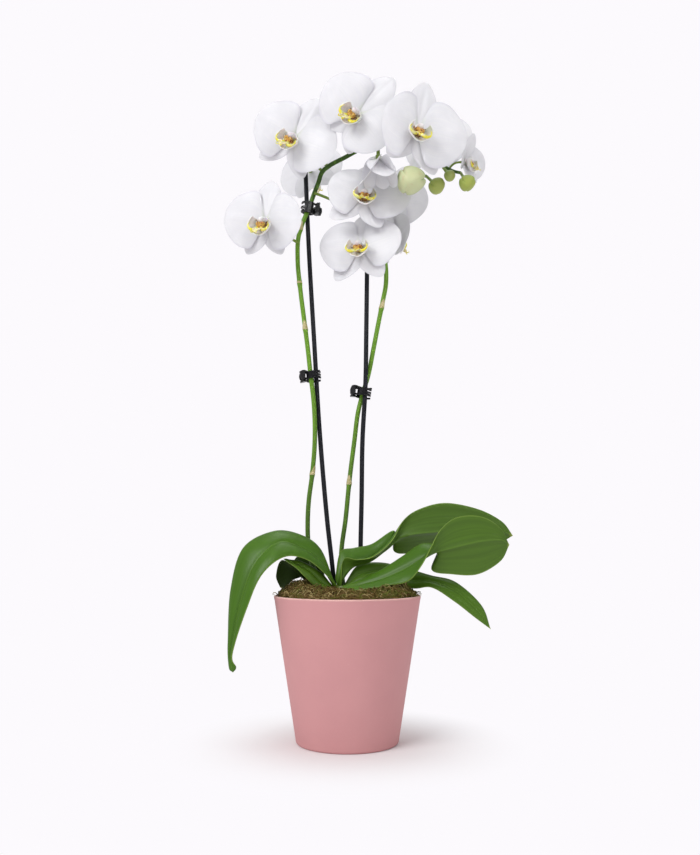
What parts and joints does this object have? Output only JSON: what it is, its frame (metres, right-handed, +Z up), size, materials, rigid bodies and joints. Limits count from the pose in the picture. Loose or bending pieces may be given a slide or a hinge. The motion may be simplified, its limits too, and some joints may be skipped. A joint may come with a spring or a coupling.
{
  "type": "potted moth orchid",
  "caption": "Moth orchid with white flowers on two staked spikes, broad arching leaves and moss, in a tapered matte pink cover pot.",
  "frame": {"origin": "centre of the cover pot's underside, on the surface that it stands on", "axes": "+Z up along the pot's axis, -Y towards the plant's front, which most flowers face, +X to the viewer's right"},
  "size_m": [0.2863, 0.1687, 0.6366],
  "materials": {
    "pot_pink": "matte pink glaze with faint mottling and a thin lighter rim",
    "nursery_grey": "thin moulded grower's pot, dull",
    "bark_brown": "rough bark pieces",
    "moss_brown": "dry tangled moss strands, brown to olive",
    "root_green": "silvery green roots and short stem",
    "leaf_green": "thick glossy leaf with a paler midrib and rim and a duller underside",
    "spike_green": "smooth green flower stem with pale node rings",
    "stake_black": "satin near-black rod",
    "clip_black": "glossy moulded black",
    "spring_steel": "bright spring wire",
    "petal_white": "white petal with faint cool veins",
    "lip_yellow": "white and yellow lip with red-brown spots",
    "bud_green": "waxy green bud"
  },
  "bodies": {
    "root": {"cover_pot": "pot_pink", "nursery_pot": "nursery_grey", "bark_medium": "bark_brown", "moss": "moss_brown", "stem_and_roots": "root_green", "stake_left": "stake_black", "stake_right": "stake_black", "spike_left": "spike_green", "spike_right": "spike_green", "leaf_right_upper": "leaf_green", "leaf_left_long": "leaf_green", "leaf_right_broad": "leaf_green", "leaf_right_lower": "leaf_green", "leaf_left_short": "leaf_green", "leaf_back_left": "leaf_green", "clip_upper_jaw_fixed": "clip_black", "clip_upper_spring": "spring_steel", "clip_lower_jaw_fixed": "clip_black", "clip_lower_spring": "spring_steel", "clip_right_jaw_fixed": "clip_black", "clip_right_spring": "spring_steel", "flower_left_petals": "petal_white", "flower_left_lip": "lip_yellow", "flower_upper_left_petals": "petal_white", "flower_upper_left_lip": "lip_yellow", "flower_top_petals": "petal_white", "flower_top_lip": "lip_yellow", "flower_upper_right_petals": "petal_white", "flower_upper_right_lip": "lip_yellow", "flower_middle_petals": "petal_white", "flower_middle_lip": "lip_yellow", "flower_lower_petals": "petal_white", "flower_lower_lip": "lip_yellow", "flower_back_low_petals": "petal_white", "flower_back_low_lip": "lip_yellow", "flower_back_middle_petals": "petal_white", "flower_back_middle_lip": "lip_yellow", "flower_back_left_petals": "petal_white", "flower_back_left_lip": "lip_yellow", "flower_back_right_petals": "petal_white", "flower_back_right_lip": "lip_yellow", "flower_nodding_petals": "petal_white", "flower_opening_petals": "petal_white", "flower_opening_lip": "lip_yellow", "bud_large": "bud_green", "bud_green": "bud_green", "bud_end": "bud_green", "bud_side": "bud_green"},
    "clip_upper_jaw": {"clip_upper_jaw_moving": "clip_black"},
    "clip_lower_jaw": {"clip_lower_jaw_moving": "clip_black"},
    "clip_right_jaw": {"clip_right_jaw_moving": "clip_black"}
  },
  "joints": [
    {"name": "clip_upper_hinge", "type": "hinge", "parent": "root", "child": "clip_upper_jaw", "pos_m": [-0.03179, 0.00984, 0.52544], "axis": [-0.1616, 0.0234, -0.9866], "range_deg": [0, 30], "stiffness_Nm_per_rad": 0.02, "springref_deg": -20.05},
    {"name": "clip_lower_hinge", "type": "hinge", "parent": "root", "child": "clip_lower_jaw", "pos_m": [-0.04378, 0.01034, 0.35017], "axis": [0.0895, -0.0069, -0.996], "range_deg": [0, 30], "stiffness_Nm_per_rad": 0.02, "springref_deg": -20.05},
    {"name": "clip_right_hinge", "type": "hinge", "parent": "root", "child": "clip_right_jaw", "pos_m": [0.00703, 0.01335, 0.33552], "axis": [-0.1588, 0.0405, -0.9865], "range_deg": [0, 30], "stiffness_Nm_per_rad": 0.02, "springref_deg": -20.05}
  ]
}
